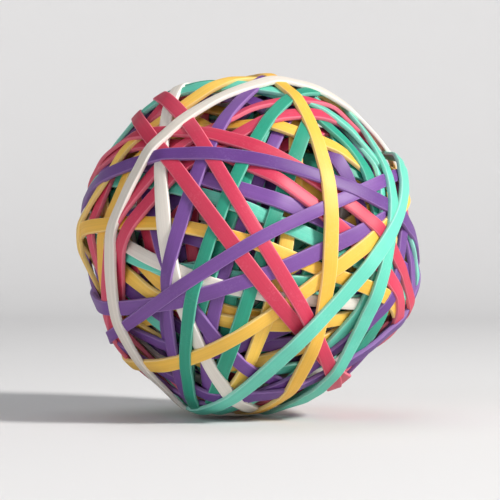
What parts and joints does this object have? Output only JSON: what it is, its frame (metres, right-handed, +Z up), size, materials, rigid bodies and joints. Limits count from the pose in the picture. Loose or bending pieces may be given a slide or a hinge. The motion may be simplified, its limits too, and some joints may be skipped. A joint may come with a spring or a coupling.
{
  "type": "rubber band ball",
  "caption": "Desk ball wound from flat elastic rubber bands in six colours, stretched one over another round a tight heart of the same bands.",
  "frame": {"origin": "centre of the ball's bounding box", "axes": "+Z up, -Y towards the side that shows in the picture, +X to that side's right"},
  "size_m": [0.0664, 0.0688, 0.0662],
  "materials": {
    "red": "satin",
    "purple": "satin",
    "green": "satin",
    "mint": "satin",
    "yellow": "satin",
    "white": "satin",
    "inner_bands": "satin"
  },
  "bodies": {
    "root": {"band_01_purple": "purple", "band_02_yellow": "yellow", "band_03_green": "green", "band_04_red": "red", "band_05_mint": "mint", "band_06_white": "white", "band_07_purple": "purple", "band_08_yellow": "yellow", "band_09_green": "green", "band_10_red": "red", "band_11_mint": "mint", "band_12_white": "white", "band_13_green": "green", "band_14_purple": "purple", "band_15_yellow": "yellow", "band_16_green": "green", "band_17_purple": "purple", "band_18_yellow": "yellow", "band_19_purple": "purple", "band_20_mint": "mint", "band_21_yellow": "yellow", "band_22_purple": "purple", "band_23_mint": "mint", "band_24_yellow": "yellow", "band_25_purple": "purple", "band_26_green": "green", "band_27_white": "white", "band_28_yellow": "yellow", "band_29_purple": "purple", "band_30_mint": "mint", "band_31_green": "green", "band_32_purple": "purple", "band_33_red": "red", "band_34_yellow": "yellow", "band_35_purple": "purple", "band_36_green": "green", "band_37_mint": "mint", "band_38_yellow": "yellow", "band_39_red": "red", "band_40_mint": "mint", "band_41_purple": "purple", "band_42_red": "red", "band_43_yellow": "yellow", "band_44_purple": "purple", "band_45_red": "red", "band_46_white": "white", "band_47_purple": "purple", "band_48_purple": "purple", "band_49_yellow": "yellow", "band_50_green": "green", "band_51_red": "red", "band_52_red": "red", "band_53_red": "red", "band_54_purple": "purple", "band_55_purple": "purple", "band_56_mint": "mint", "band_57_yellow": "yellow", "band_58_mint": "mint", "band_59_white": "white", "heart_of_inner_bands": "inner_bands"}
  },
  "joints": []
}
